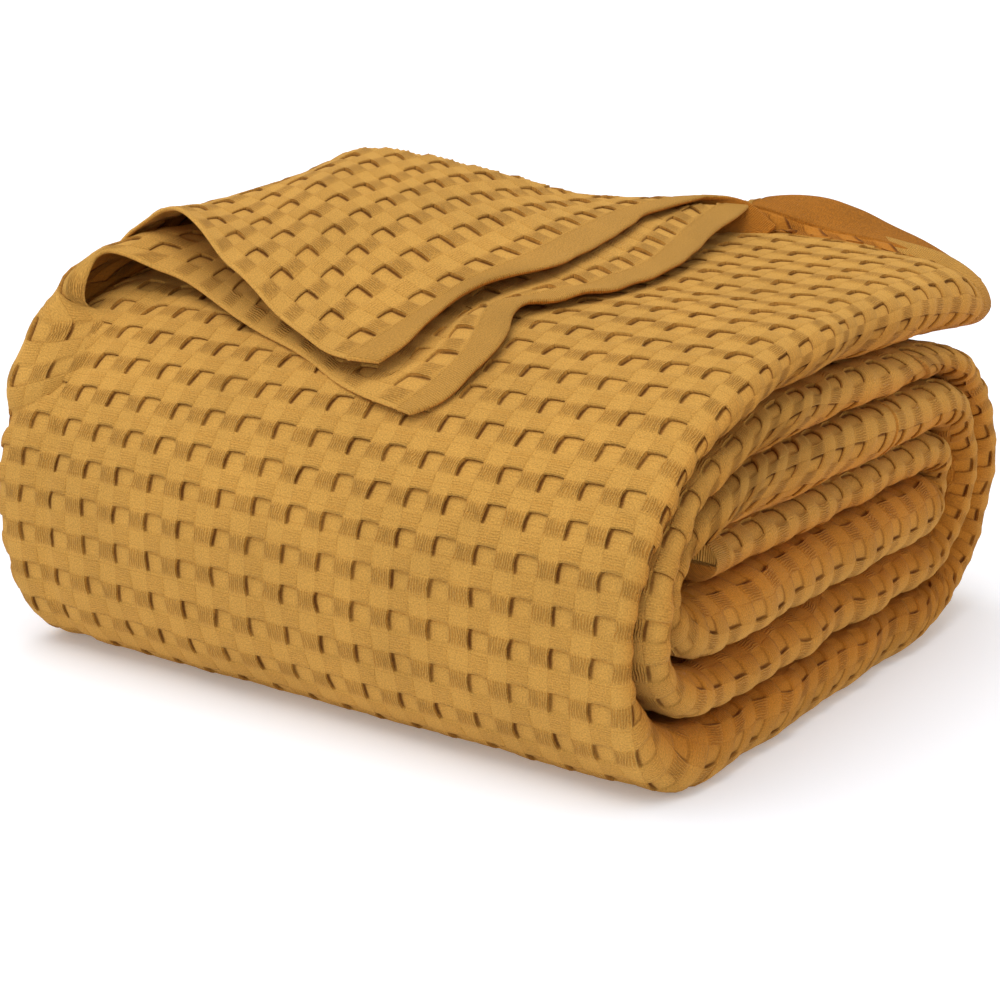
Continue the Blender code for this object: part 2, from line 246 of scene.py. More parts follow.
def winding():
    """The strip's path in even steps: outer y z, inner y z and the five edge values.

    Runs are straight and turns are quarters of superellipses. The rows are spaced evenly
    along the outer face, and blurred a little so that runs flow into turns."""
    outer, inner, edges = [], [], []

    def add_stretch(outer_points, inner_points, first, last, late=False):
        """Adds a stretch whose edges go from one row's to another's, late or evenly."""
        share = np.linspace(0.0, 1.0, len(outer_points))[:, None]
        blend = share ** 3 if late else share * share * (3 - 2 * share)
        outer.append(outer_points)
        inner.append(inner_points)
        edges.append(edge_values(first) * (1 - blend) + edge_values(last) * blend)

    for index, run in enumerate(RUNS):
        heads_back = index % 2 == 0
        start, stop = run_ends(run, heads_back)
        share = np.linspace(0.0, 1.0, RUN_STEPS + 1)[:, None]
        outer_run = np.array(start[0]) * (1 - share) + np.array(stop[0]) * share
        inner_run = np.array(start[1]) * (1 - share) + np.array(stop[1]) * share
        if run is RUNS[-1]:
            add_stretch(outer_run, inner_run, run, TOP_CORNER, late=True)
            break
        add_stretch(outer_run[:-1], inner_run[:-1], run, run)
        turn, following = TURNS[index], RUNS[index + 1]
        enter, _ = run_ends(following, not heads_back)
        outer_turn = turn_face(stop[0], enter[0], turn, turn["outer"])
        inner_turn = turn_face(stop[1], enter[1], turn, turn["inner"])
        half = QUARTER_STEPS
        add_stretch(outer_turn[:half], inner_turn[:half], run, turn)
        add_stretch(outer_turn[half:-1], inner_turn[half:-1], turn, following)
    path = np.concatenate([np.concatenate(outer), np.concatenate(inner), np.concatenate(edges)], 1)
    length = np.concatenate([[0.0], np.hypot(*np.diff(path[:, :2], axis=0).T).cumsum()])
    even = np.arange(0.0, length[-1], PATH_STEP)
    path = np.stack([np.interp(even, length, path[:, k]) for k in range(path.shape[1])], 1)
    return softened(path, PATH_SOFTNESS)


def round_fold(past, half, rounding):
    """Where a length past the start of a folded edge lies: inwards from the edge, and side.

    The face runs straight to the fold (side 1), the fold is a superellipse, inwards =
    rounding (1 - cos^p), side = sin, and the inner face runs straight back (side -1)."""
    angles = np.linspace(math.pi / 2, -math.pi / 2, NOSE_STEPS)
    inwards = rounding[:, None] * (1 - np.cos(angles).clip(0.0) ** NOSE_POWER)
    side = np.sin(angles)
    steps = np.hypot(np.diff(inwards, axis=1), np.diff(side) * half[:, None])
    length = np.concatenate([np.zeros((len(half), 1)), steps.cumsum(axis=1)], 1)
    total = length[:, -1:]
    low = ((length[:, None, :] <= past[:, :, None]).sum(axis=2) - 1).clip(0, NOSE_STEPS - 2)
    start = np.take_along_axis(length, low, 1)
    share = (past - start) / (np.take_along_axis(length, low + 1, 1) - start)
    share = share.clip(0.0, 1.0)
    turned = angles[low] + (angles[low + 1] - angles[low]) * share
    inside = (np.take_along_axis(inwards, low, 1) * (1 - share)
              + np.take_along_axis(inwards, low + 1, 1) * share)
    inside = np.where(past < 0, rounding[:, None] - past, inside)
    inside = np.where(past > total, rounding[:, None] + past - total, inside)
    return inside, np.where(past < 0, 1.0, np.where(past > total, -1.0, np.sin(turned)))


def weave(column_cell, column_share, row_cell, row_share, seed, turned_about=0.0):
    """The weave on a grid of cell lines: height, lean across and along, and the marks.

    Each comes from the cell's two tables, one across and one along, and is made stronger or
    weaker from cell to cell by a seeded draw. The marks, from 0 to 1, tell the finish where
    shade is painted into the colour and where loose threads run along (warp) or across (weft).
    Turned_about, from 0 to 1, moves the painted shade to a pocket's other end."""
    def over(key):
        return through(ACROSS, column_share, key)[None, :]

    def up(key):
        return through(ALONG, row_share, key)[:, None]

    draw = np.random.default_rng(seed)
    drawn = draw.uniform(-1, 1, (4, DRAWN_CELLS, DRAWN_CELLS))
    rows, columns = ((cell % DRAWN_CELLS).astype(int) for cell in (row_cell, column_cell))
    picked = drawn[:, rows[:, None], columns[None, :]]
    in_pocket = ((column_share > 0.0) & (column_share < POCKET_END))[None, :] * 1.0
    in_row = (row_share < ROW_END)[:, None] * 1.0
    weight = np.where(in_pocket > 0, up("depth"), up("lift"))
    height = over("pocket") * weight + over("smooth") * (1 - weight) + up("lip") * in_pocket
    height = height * (1 + RELIEF_VARIES * picked[0])
    middle_along = np.sin(math.pi * (row_share / ROW_END).clip(0, 1))[:, None]
    middle_across = np.sin(math.pi * (column_share / POCKET_END).clip(0, 1))[None, :]
    lean_across = over("lean") * up("lift") + over("bow") * middle_along
    lean_along = up("lean") * in_pocket + up("bow") * middle_across
    far = up("shade")
    near = through(ALONG, ROW_END - row_share, "shade")[:, None]
    ends = far * (1 - turned_about) + near * turned_about
    # Painted shade: the mask that darkens the undercut sides and far ends of the pockets
    shade = np.maximum(over("shade") * middle_along ** SHADE_SPREAD, ends) * in_pocket * in_row
    marks = dict(shade=(shade * (1 + SHADE_VARIES * picked[3])).clip(0.0, 1.0),
                 warp=(1 - in_pocket) * up("lift"),
                 weft=in_pocket * (1 - in_row))
    lean_across = lean_across * (1 + LEAN_VARIES * picked[1])
    lean_along = lean_along * (1 + LEAN_VARIES * picked[2])
    return height, lean_across, lean_along, marks


def cell_lines(first, last, shares):
    """Cell numbers and shares of the lines that a run of cells puts into a grid."""
    cells = np.repeat(np.arange(first, last), len(shares))
    return cells, np.tile(shares, last - first)


def strip_columns(full):
    """Columns round the strip that follow the cells. Unless full, hidden cells get one each."""
    first, last = FINE_CELLS
    shares = column(ACROSS, "share")
    if full:
        return cell_lines(first, last, shares)
    left = cell_lines(first, first + NOSE_CELLS, shares)
    middle = cell_lines(first + NOSE_CELLS, last - NOSE_CELLS, [PLAIN_SHARE])
    right = cell_lines(last - NOSE_CELLS, last, shares)
    return tuple(np.concatenate(part) for part in zip(left, middle, right))


# The hemmed ends of the strip: lines of the plain band, from its rim to the first cell line.
END_LINES = (0.0, 0.15, 0.5, 1.2, 2.5, 5.0, 8.0, 10.5, 11.4, 12.5)
LINE_GAP = 0.5              # a line of the cells nearer to the last one than this is left out
HAIR = 0.01                 # lengths are equal when they differ by less
END_ROUNDING = 2.5          # how far from its rim a hemmed end starts to round off
LEAST_RIM = 0.1             # share of its thickness that a rim has
STITCH_FROM_RIM = 11.4      # the hem's line of stitches
STITCH_DEPTH = 0.45
STITCH_WIDTH = 0.6
DIP = 3.2                   # how far the cloth sinks in front of the outer hem
DIP_PLACE = 14.0            # how far from the rim it sinks most
DIP_WIDTH = 11.0
FLARE = 1.5                 # how far the outer hem's rim stands up
CREASE_AT = -117.0          # a long crease down the front, near the left end (X)
CREASE_DEPTH = 1.3
CREASE_WIDTH = 3.5
CREASE_SWAY = 2.5           # how far it sways to each side, and over what length
CREASE_OVER = 60.0
EDGE_WANDER = 1.6           # how far the folded edges wander in and out, and over what length
EDGE_OVER = 46.0
EDGE_SHORT = 0.4            # share of that by which they keep short on the whole
STRAY = 0.45                # how far the columns of cells stray sideways, and over what length
STRAY_OVER = 12.0
DRIFT = 0.8                 # the same, more slowly
DRIFT_OVER = 90.0
SWELL = 0.5                 # how far the cloth swells and sinks, and over what length
SWELL_OVER = 38.0
NOOK_FROM = 0.9             # the side of a folded edge from which painted shade deepens its colour
NOOK_OVER = 1.5             # over how much of the side it does


def soft_rim(distance, radius):
    """How much of its thickness cloth has near its rim: a quarter circle, from LEAST_RIM to 1."""
    return np.sqrt(1 - (1 - (distance / radius).clip(0, 1)) ** 2).clip(LEAST_RIM, 1.0)


def strip_skin(first, last, full, seed, relief, hem=None, creased=False):
    """Points, cell coordinates and marks of a closed length of the wound strip, and its length.

    A row is one section of the strip: its outer face, the round folded edges and the hidden
    inner face. A point is the section's middle + side x half its depth, where the side is 1 on
    the outer face and -1 on the inner one, + the weave's height along the surface's normal.
    Hem names the end that is hemmed, "first" or "last", if one is."""
    path = winding()
    row_cell, row_share = cell_lines(first, last, column(ALONG, "share"))
    row_cell, row_share = np.append(row_cell, last), np.append(row_share, 0.0)
    place = np.interp(row_cell + row_share, *np.array(ROW_MARKS).T)
    if hem:
        rim_place = place[-1] if hem == "last" else place[0]
        lines = rim_place + np.array(END_LINES) * (-1 if hem == "last" else 1)
        kept = abs(place - rim_place) > HEM_WIDTH + LINE_GAP
        order = np.argsort(np.append(place[kept], lines))
        row_cell = np.append(row_cell[kept], np.full(len(lines), first))[order]
        row_share = np.append(row_share[kept], np.full(len(lines), PLAIN_SHARE))[order]
        place = np.append(place[kept], lines)[order]
        from_rim = abs(place - rim_place)
    else:
        from_rim = np.full(len(place), np.inf)
    band = (from_rim <= HEM_WIDTH + HAIR) * 1.0
    rim = soft_rim(from_rim, END_ROUNDING)
    at = np.arange(len(path)) * PATH_STEP
    values = np.stack([np.interp(place, at, path[:, k]) for k in range(path.shape[1])], 1)
    outer, inner, edges = values[:, 0:2], values[:, 2:4], values[:, 4:]
    short_right, short_left, round_right, round_left, droop = edges.T
    short_right = short_right + EDGE_WANDER * (EDGE_SHORT + wander(0.0, place, EDGE_OVER, seed + 3))
    short_left = short_left + EDGE_WANDER * (EDGE_SHORT + wander(0.0, place, EDGE_OVER, seed + 4))
    centre, half = (outer + inner) / 2, (outer - inner) / 2 * rim[:, None]
    depth = np.hypot(*half.T)

    cell, share = strip_columns(full)
    width = FIRST_COLUMN + PITCH * (cell + share)
    width_grid, place_grid = np.meshgrid(width, place)
    shifted = (width_grid + STRAY * wander(width_grid, place_grid, STRAY_OVER, seed + 1)
               + DRIFT * wander(width_grid, place_grid, DRIFT_OVER, seed + 2))
    right = STRIP_WIDTH / 2 - short_right[:, None]
    left = STRIP_WIDTH / 2 - short_left[:, None]
    inside_right, side_right = round_fold(shifted - right + round_right[:, None], depth, round_right)
    inside_left, side_left = round_fold(-shifted - left + round_left[:, None], depth, round_left)
    to_right = width_grid >= 0
    x = np.where(to_right, right - inside_right, inside_left - left)
    side = np.where(to_right, side_right, side_left)

    # The hidden middle of the inner face closes the ring.
    count = len(width)
    back = np.linspace(0.0, 1.0, INNER_COLUMNS + 2)[1:-1]
    x_back = x[:, -1:] * (1 - back) + x[:, :1] * back
    across_back = width[-1] + (x[:, -1:] - x_back)
    x = np.concatenate([x, x_back], 1)
    side = np.concatenate([side, -np.ones_like(x_back)], 1)
    y = centre[:, :1] + half[:, :1] * side
    z = centre[:, 1:] + half[:, 1:] * side
    hang = (x - DROOP_FROM).clip(0.0) / (right - DROOP_FROM)
    z = z - droop[:, None] * hang * hang
    points = np.stack([x, y, z], axis=2)

    across = unit(np.roll(points, -1, 1) - np.roll(points, 1, 1))
    along = unit(np.gradient(points, axis=0))
    normal = unit(np.cross(across, along))
    nose = 1 - side[:, :count] ** 2
    heads_front = (np.gradient(centre[:, 0]) < 0)[:, None] * nose
    height, lean_across, lean_along, marks = weave(cell, share, row_cell, row_share, seed,
                                                   heads_front)
    woven = (1 - band)[:, None]
    smooth_row = np.sin(2 * math.pi * row_share)[:, None]
    height = height * relief * woven * (1 + NOSE_RELIEF * nose)
    height -= nose * woven * np.where(smooth_row < 0, SCALLOP, NOTCH) * smooth_row
    height += SWELL * wander(width_grid, place_grid, SWELL_OVER, seed + 5)
    height -= STITCH_DEPTH * np.exp(-((from_rim - STITCH_FROM_RIM) / STITCH_WIDTH) ** 2)[:, None]
    if hem == "last":
        collar = (FLARE * (1 - from_rim / HEM_WIDTH).clip(0.0)
                  - DIP * np.exp(-((from_rim - DIP_PLACE) / DIP_WIDTH) ** 2))
        height += collar[:, None] * side[:, :count].clip(0.0)
    if creased:
        sway = CREASE_SWAY * wander(0.0, place_grid, CREASE_OVER, seed + 6)
        off = (width_grid - CREASE_AT - sway) / CREASE_WIDTH
        height -= CREASE_DEPTH * np.exp(-off * off)
    points[:, :count] += (normal[:, :count] * height[..., None]
                          + across[:, :count] * (lean_across * woven)[..., None]
                          + along[:, :count] * (lean_along * woven)[..., None])
    points[..., 2] = points[..., 2].clip(0.0)   # nothing goes below the surface it rests on
    u = np.concatenate([width_grid - FIRST_COLUMN, across_back - FIRST_COLUMN], 1) / PITCH
    u = np.concatenate([u, u[:, -1:] + (x_back[:, -1:] - x[:, :1]) / PITCH], 1)
    v = np.repeat((place / PITCH)[:, None], u.shape[1], 1)
    marks = {name: mark * woven for name, mark in marks.items()}
    marks["band"] = np.broadcast_to(band[:, None], width_grid.shape)
    # Painted shade between the runs: it deepens the colour down a folded edge's side towards the inner
    # face.
    marks["nook_shade"] = ((NOOK_FROM - side[:, :count]) / NOOK_OVER).clip(0.0, 1.0)
    marks = {name: np.pad(mark, ((0, 0), (0, INNER_COLUMNS))) for name, mark in marks.items()}
    return points, np.stack([u, v], axis=2), marks, place[-1] - place[0]


# ---- The turned-over corner ----

# Each sheet's lines run from under the roll's surface up to the ridge, over it and down to the
# front edge. The first line is the hem and the last ones curl down at the left end. Points are
# X, Y, Z; wall: from the roll's surface up to the ridge, where it isn't the plain wall below;
# flap: from the ridge to the front edge; apart: how far from the hem's rim this line is; curl:
# how far past the last plain line it is.
UPPER_SHEET = [
    dict(wall=[(50, 112, 155.5), (42, 112, 161), (34, 108, 164)],
         flap=[(25, 99, 164.5), (21, 82, 162.5), (19, 60, 160.5), (24, 26, 156), (27, -4, 153.5),
               (28, -28, 151.5), (21, -41, 149.5), (15, -52, 147), (13, -65, 144),
               (13, -85, 137.5), (13, -100, 131), (9, -109, 125.5)]),
    dict(flap=[(-12.5, 75.5, 162.5), (-10.5, 35.5, 162.5), (2, -35.5, 152), (2, -112, 126)]),
    dict(flap=[(-52.5, 44, 174.5), (-46, 6.5, 171.5), (-29.5, -54.5, 155.5), (-14.5, -110, 126.5)]),
    dict(flap=[(-73, 32, 178), (-62, -3, 174), (-44, -59, 157), (-26.5, -107, 130)]),
    dict(flap=[(-93.5, 21, 181.5), (-79.5, -12.5, 175.5), (-58.5, -63, 157.5), (-38, -103, 133)]),
    dict(flap=[(-117.5, 8.5, 168.5), (-105, -25, 167.5), (-88, -65, 158), (-71.5, -93.5, 148)]),
    dict(flap=[(-135.5, -8.5, 157.5), (-134.5, -42, 158.5), (-133, -58.5, 159), (-132, -71.5, 158.5)]),
    dict(flap=[(-139, -10, 154), (-140, -44, 155), (-140.5, -60, 154), (-141, -72, 152)], curl=9),
    dict(flap=[(-139.5, -12, 148), (-142, -46, 148), (-143, -63, 147.5), (-144, -77, 146)], curl=17),
]
LOWER_SHEET = [
    dict(wall=[(124, 147, 139), (113, 147, 145), (101, 147, 150), (86, 147, 155), (72, 147, 159.5),
               (60, 146, 162.5), (50, 141, 163.5), (42, 130, 163)],
         flap=[(38, 117.5, 162), (42, 100, 159), (46, 70, 155.5), (51, 47, 152), (56, 23, 149.5),
               (56, 2, 147), (55, -9, 146.5), (54, -24, 145.5), (49, -35, 146), (44, -46, 143.5),
               (37, -58, 143.5), (38, -67, 141), (43, -78, 137), (46, -89, 133), (45, -104, 126),
               (44, -111, 121.5), (40, -118, 117), (33, -124, 113.5)]),
    dict(wall=[(112, 130, 143), (100, 130, 146.5), (87, 130, 148.5), (71, 129, 150),
               (60, 128, 151.5), (50, 122, 155), (39, 114, 159)],
         flap=[(29, 103, 161), (30, 86, 158.5), (34, 62, 155.5), (39, 41, 152.5), (43, 20, 150),
               (43, 1, 148), (42, -12, 147), (41, -26, 145.5), (36, -40, 145), (31, -52, 143.5),
               (26, -62, 142.5), (27, -72, 139.5), (31, -84, 134.5), (33, -95, 129.5),
               (31, -108, 122.5), (25, -122, 114)], apart=13.0),
    dict(wall=[(52, 112, 147), (38, 108, 151), (24, 102, 153.5), (10, 94, 156), (0, 86, 158),
               (-6, 78, 159)],
         flap=[(-10.5, 67, 158.5), (-4, 31.5, 155.5), (8.5, -35.5, 144), (8, -119, 115.5)]),
    dict(flap=[(-52.5, 36.5, 167), (-44, 2, 160.5), (-27.5, -54.5, 145), (-25, -107, 121.5)]),
    dict(flap=[(-92.5, 14.5, 171), (-82, -17, 164.5), (-73.5, -56.5, 150), (-65, -96.5, 129.5)]),
    dict(flap=[(-117.5, 1, 158.5), (-113.5, -29.5, 156.5), (-111, -56.5, 150), (-113.5, -84, 140)]),
    dict(flap=[(-136.5, -14.5, 150), (-136.5, -46, 150.5), (-137.5, -69, 150), (-139.5, -92.5, 145.5)]),
    dict(flap=[(-141, -17, 145), (-142.5, -48, 146), (-144.5, -72, 145.5), (-144, -90, 145.5),
               (-141, -95, 142)], curl=6),
    dict(flap=[(-142, -19, 138), (-146, -52, 138), (-148.5, -82, 137.5), (-147, -102, 138),
               (-142, -108, 134), (-136, -104, 129.5)], curl=14),
    dict(flap=[(-142, -22, 129), (-147, -56, 128), (-150, -90, 126), (-149, -113, 125.5),
               (-143, -117, 124.5), (-134, -109, 123.5), (-126, -98, 123.5)], curl=25),
    dict(flap=[(-142, -26, 119), (-147, -60, 117), (-151, -98, 113), (-150, -123.5, 112),
               (-143, -128.5, 112), (-132, -123, 113), (-121, -110, 116)], curl=38),
    dict(flap=[(-142, -30, 109), (-146, -64, 106), (-150, -106, 100), (-150, -132, 98),
               (-143, -138, 98), (-130, -134, 102), (-118, -122, 107)], curl=52),
    dict(flap=[(-140, -34, 99), (-143, -68, 96), (-145, -108, 88), (-145, -134, 84),
               (-140, -139, 84), (-129, -136, 90), (-117, -128, 98)], curl=66),
]
# The plain wall behind a ridge: how far behind it, towards the back left, its share of the
# ridge's height over the roll, and how far it is sunk.
WALL = table(
    "behind share sunk",
    (-7.0, 0.0, 6.0),
    (1.5, 0.0, 1.0),
    (7.0, 0.45, 0.0),
    (5.0, 0.88, 0.0),
)
BACK_LEFT = np.array([-0.54, 0.84])
LEAST_WALL = 2.0            # a wall's least height
WALL_POINTS = 26            # even points along a wall
FLAP_POINTS = 70            # even points along a flap
TUCKED = 8.0                # what is left of a line past its wall's foot is drawn in to this
DENSE = 12                  # steps to a given point, before a line is evened out
SHEET_THICKNESS = 1.7
HEM_THICKNESS = 2.2         # the hem is the sheet doubled and pressed
RIM_RADIUS = 1.3            # how far from its rim a sheet starts to round off
RIM_LINES = (0.0, 0.12, 0.45, 1.3)          # lines near a rim, and across the hem's band
BAND_LINES = (4.0, 7.5, 10.0, 11.4, 11.9)
SHEET_STITCH_WIDTH = 0.5
SHEET_SWELL = 0.9           # how far a sheet swells and sinks, and over what length
SHEET_SWELL_OVER = 42.0
SWELL_GROWS = 40.0          # the hem holds it flat, so it swells fully only this far from the rim
LEAST_SWELL = 0.25          # share of the swell that there is at the rim
RAGGED = 0.5                # how far the hem's rim strays, and over what length
RAGGED_OVER = 17.0
RAGGED_FADES = 7.0          # how far from the rim that has mostly faded
FRONT_MARGIN = 1.4          # plain cloth along the turned front edge
HOLLOW_OVER = 18.0          # behind a ridge and underneath, painted shade deepens the colour over this length
HEM_LIT = 0.7               # how much less painted shade there is on a hem, which catches the light


def roll_top(y):
    """Height of the roll's outer face at a place y: a slope, then a superellipse."""
    run, turn = RUNS[-1], TURNS[-1]
    slope = (run["high_back"] - run["high"]) / (run["back"] - run["front"])
    reach = ((run["front"] - y) / (run["front"] - turn["outer"])).clip(0.0, 1.0)
    rise = (1 - reach ** (2 / turn["power"])) ** (turn["power"] / 2)
    rounded = turn["middle"] + (run["high"] - turn["middle"]) * rise
    return np.where(y > run["front"], run["high"] + slope * (y - run["front"]), rounded)


def smooth_through(knots, values, at):
    """Smooth values at places between rising knots: cubics whose slope at a knot is that of the
    parabola through it and its neighbours."""
    step = np.diff(knots)[:, None]
    rise = np.diff(values, axis=0) / step
    slope = np.empty_like(values)
    slope[1:-1] = (rise[:-1] * step[1:] + rise[1:] * step[:-1]) / (step[1:] + step[:-1])
    slope[0], slope[-1] = rise[0], rise[-1]
    at = at.clip(knots[0], knots[-1])
    low = np.searchsorted(knots, at, side="right").clip(1, len(knots) - 1) - 1
    wide = step[low]
    t = (at - knots[low])[:, None] / wide
    return (values[low] * (1 + 2 * t) * (1 - t) ** 2 + slope[low] * wide * t * (1 - t) ** 2
            + values[low + 1] * t * t * (3 - 2 * t) - slope[low + 1] * wide * t * t * (1 - t))


def lengths(points):
    """Length along a line of points, from its first."""
    return np.concatenate([[0.0], np.linalg.norm(np.diff(points, axis=0), axis=1).cumsum()])


def even_line(points, count):
    """Count points spread evenly along the smooth line through a few given ones."""
    points = np.array(points, float)
    knots = np.sqrt(np.linalg.norm(np.diff(points, axis=0), axis=1)).cumsum()
    knots = np.concatenate([[0.0], knots])
    dense = smooth_through(knots, points, np.linspace(0.0, knots[-1], DENSE * len(points)))
    length = lengths(dense)
    wanted = np.linspace(0.0, length[-1], count)
    return np.stack([np.interp(wanted, length, dense[:, k]) for k in range(3)], 1)


def plain_wall(ridge):
    """Points from under the roll's surface up behind a ridge, bulging to the back left."""
    x, y, z = ridge
    ground = min(float(roll_top(np.array(float(y)))), z - LEAST_WALL)
    tall = z - ground
    return [(x + BACK_LEFT[0] * row["behind"], y + BACK_LEFT[1] * row["behind"],
             ground + tall * row["share"] - row["sunk"]) for row in WALL]


def sheet_lines(ribs):
    """Even points along each given line of a sheet, and how far each lies from the hem.

    In plan, a place is the hem's corner + s along the front edge + w along the hem, and s is
    its distance from the hem. It is worked out at the ridge and at the front edge."""
    lines = []
    for rib in ribs:
        wall = even_line([*rib.get("wall", plain_wall(rib["flap"][0])), rib["flap"][0]], WALL_POINTS)
        lines.append(np.concatenate([wall[:-1], even_line(rib["flap"], FLAP_POINTS)]))
    lines = np.array(lines)
    ridges, fronts = lines[:, WALL_POINTS - 1, :2], lines[:, -1, :2]
    plain = [k for k, rib in enumerate(ribs) if "curl" not in rib]
    axes = np.stack([unit(fronts[plain[-1]] - fronts[0]), unit(ridges[0] - fronts[0])], 1)
    at_ridge = np.linalg.solve(axes, (ridges - fronts[0]).T)[0]
    at_front = np.linalg.solve(axes, (fronts - fronts[0]).T)[0]
    share = np.concatenate([np.zeros(WALL_POINTS - 1), np.linspace(0.0, 1.0, FLAP_POINTS)])
    from_hem = at_ridge[:, None] * (1 - share) + at_front[:, None] * share
    for k, rib in enumerate(ribs):
        if "curl" in rib:
            from_hem[k] = from_hem[plain[-1]] + rib["curl"]
        if "apart" in rib:
            from_hem[k] = rib["apart"]
    return lines, from_hem


def sheet_skin(ribs, seed, relief, sheet_thickness):
    """Points, cell coordinates and marks of a turned-over sheet, and its flat sizes.

    Rows keep an even distance from the hem and columns one from the front edge, both on the
    lines of the cells. Each row is one ring: the upper face from the front edge back to the
    hidden end, and the lower face forward again. A point is the sheet's middle + the weave's
    height and half the thickness, up or down, along the normal."""
    lines, from_hem = sheet_lines(ribs)
    deep = from_hem[:, 0].max()
    row_cell, row_share = cell_lines(0, int((deep - HEM_WIDTH) / PITCH) + 1, column(ALONG, "share"))
    rows = HEM_WIDTH + PITCH * (row_cell + row_share)
    inside = rows < deep - 2 * RIM_RADIUS
    edge_rows = np.array((*RIM_LINES, *BAND_LINES))
    rim_rows = deep - np.array(RIM_LINES)[::-1]
    rows = np.concatenate([edge_rows, rows[inside], rim_rows])
    row_v = (rows - HEM_WIDTH) / PITCH
    surface = np.stack([smooth_through(from_hem[:, k], lines[:, k], rows)
                        for k in range(lines.shape[1])], axis=1)

    reach = [lengths(line[::-1]) for line in surface]
    long = max(length[-1] for length in reach)
    cells_back = int((long - FRONT_MARGIN) / PITCH) + 1
    cell, share = cell_lines(-cells_back, 0, column(ACROSS, "share"))
    column_u = np.concatenate([cell + share, (FRONT_MARGIN - np.array(RIM_LINES)[::-1]) / PITCH])
    from_front = FRONT_MARGIN - PITCH * column_u
    points = np.empty((len(rows), len(from_front), 3))
    for k, length in enumerate(reach):
        past = (from_front - length[-1]).clip(0.0)
        wanted = np.minimum(from_front, length[-1])
        line = surface[k][::-1]
        points[k] = np.stack([np.interp(wanted, length, line[:, axis]) for axis in range(3)], 1)
        tail = unit(line[-1] - line[-3])
        points[k] += tail * (past * TUCKED / max(past.max(), TUCKED))[:, None]

    across = unit(np.gradient(points, axis=1))
    along = unit(np.gradient(points, axis=0))
    normal = unit(np.cross(along, across))
    height, lean_across, lean_along, marks = weave(
        np.floor(column_u), column_u % 1.0, np.floor(row_v), row_v % 1.0, seed)
    woven = ((rows >= HEM_WIDTH) & (rows < deep - RIM_RADIUS))[:, None] * (column_u <= 0)[None, :]
    front_grid, row_grid = np.meshgrid(from_front, rows)
    stitch = STITCH_DEPTH * np.exp(-((rows - STITCH_FROM_RIM) / SHEET_STITCH_WIDTH) ** 2)[:, None]
    swell = SHEET_SWELL * wander(row_grid, front_grid, SHEET_SWELL_OVER, seed + 5)
    height = (height * relief * woven - stitch
              + swell * (row_grid / SWELL_GROWS).clip(LEAST_SWELL, 1.0))
    ragged = RAGGED * wander(row_grid, front_grid, RAGGED_OVER, seed + 6)
    ragged = ragged * np.exp(-row_grid / RAGGED_FADES)
    points += (across * (lean_across * woven)[..., None]
               + along * (lean_along * woven + ragged)[..., None])
    thick = np.where(rows < HEM_WIDTH, HEM_THICKNESS, sheet_thickness)
    thick = thick * soft_rim(rows, RIM_RADIUS) * soft_rim(deep - rows, RIM_RADIUS)
    half = (thick[:, None] * soft_rim(from_front, RIM_RADIUS)[None, :] / 2)
    top = points + normal * (height + half)[..., None]
    bottom = points + normal * (height - half)[..., None]
    ring = np.concatenate([top[:, ::-1], bottom], 1)

    u = np.concatenate([column_u[::-1], column_u, column_u[-1:]])
    cells = np.stack(np.broadcast_arrays(u[None, :], row_v[:, None]), axis=2)
    marks = {name: mark * woven for name, mark in marks.items()}
    marks["band"] = (row_grid < HEM_WIDTH) * 1.0
    # Painted shade behind a ridge and under the turned-over sheet, less on the hem.
    to_ridge = np.array([length[-WALL_POINTS] for length in reach])[:, None]
    behind = ((front_grid - to_ridge) / HOLLOW_OVER).clip(0.0, 1.0) * (1 - HEM_LIT * marks["band"])
    below = ((front_grid - FRONT_MARGIN) / HOLLOW_OVER).clip(0.0, 1.0)
    marks = {name: np.concatenate([mark[:, ::-1], mark], 1) for name, mark in marks.items()}
    marks["nook_shade"] = np.concatenate([behind[:, ::-1], np.maximum(behind, below)], 1)
    return ring, cells, marks, (deep, sum(length[-1] for length in reach) / len(reach))


# ---- Meshes ----

def ladder(ring):
    """Quads across the slit between the two halves of a ring, which lie opposite each other."""
    half = len(ring) // 2
    near, far = ring[:half], ring[:half - 1:-1]
    return np.stack([near[:-1], near[1:], far[1:], far[:-1]], axis=1)


def closed_grid(name, points, cells, marks, material, slit=False):
    """A mesh from rings of points: quads along them, and at each end a cap or a ladder."""
    rows, ring = points.shape[:2]
    index = np.arange(rows * ring).reshape(rows, ring)
    ahead = np.roll(index, -1, 1)
    quads = np.stack([index[:-1], ahead[:-1], ahead[1:], index[1:]], axis=2).reshape(-1, 4)
    here, there = cells[:, :-1], cells[:, 1:]
    corners = np.stack([here[:-1], there[:-1], there[1:], here[1:]], axis=2).reshape(-1, 2)
    if slit:
        caps = np.concatenate([ladder(index[0])[:, ::-1], ladder(index[-1])])
    else:
        caps = np.stack([index[0][::-1], index[-1]])
    flat_cells = cells[:, :-1].reshape(-1, 2)
    corners = np.concatenate([corners, flat_cells[caps.ravel()]])
    sharp = [] if slit else [index[0], index[-1]]
    return new_piece(name, points.reshape(-1, 3), [quads, caps], corners, marks, material, sharp)


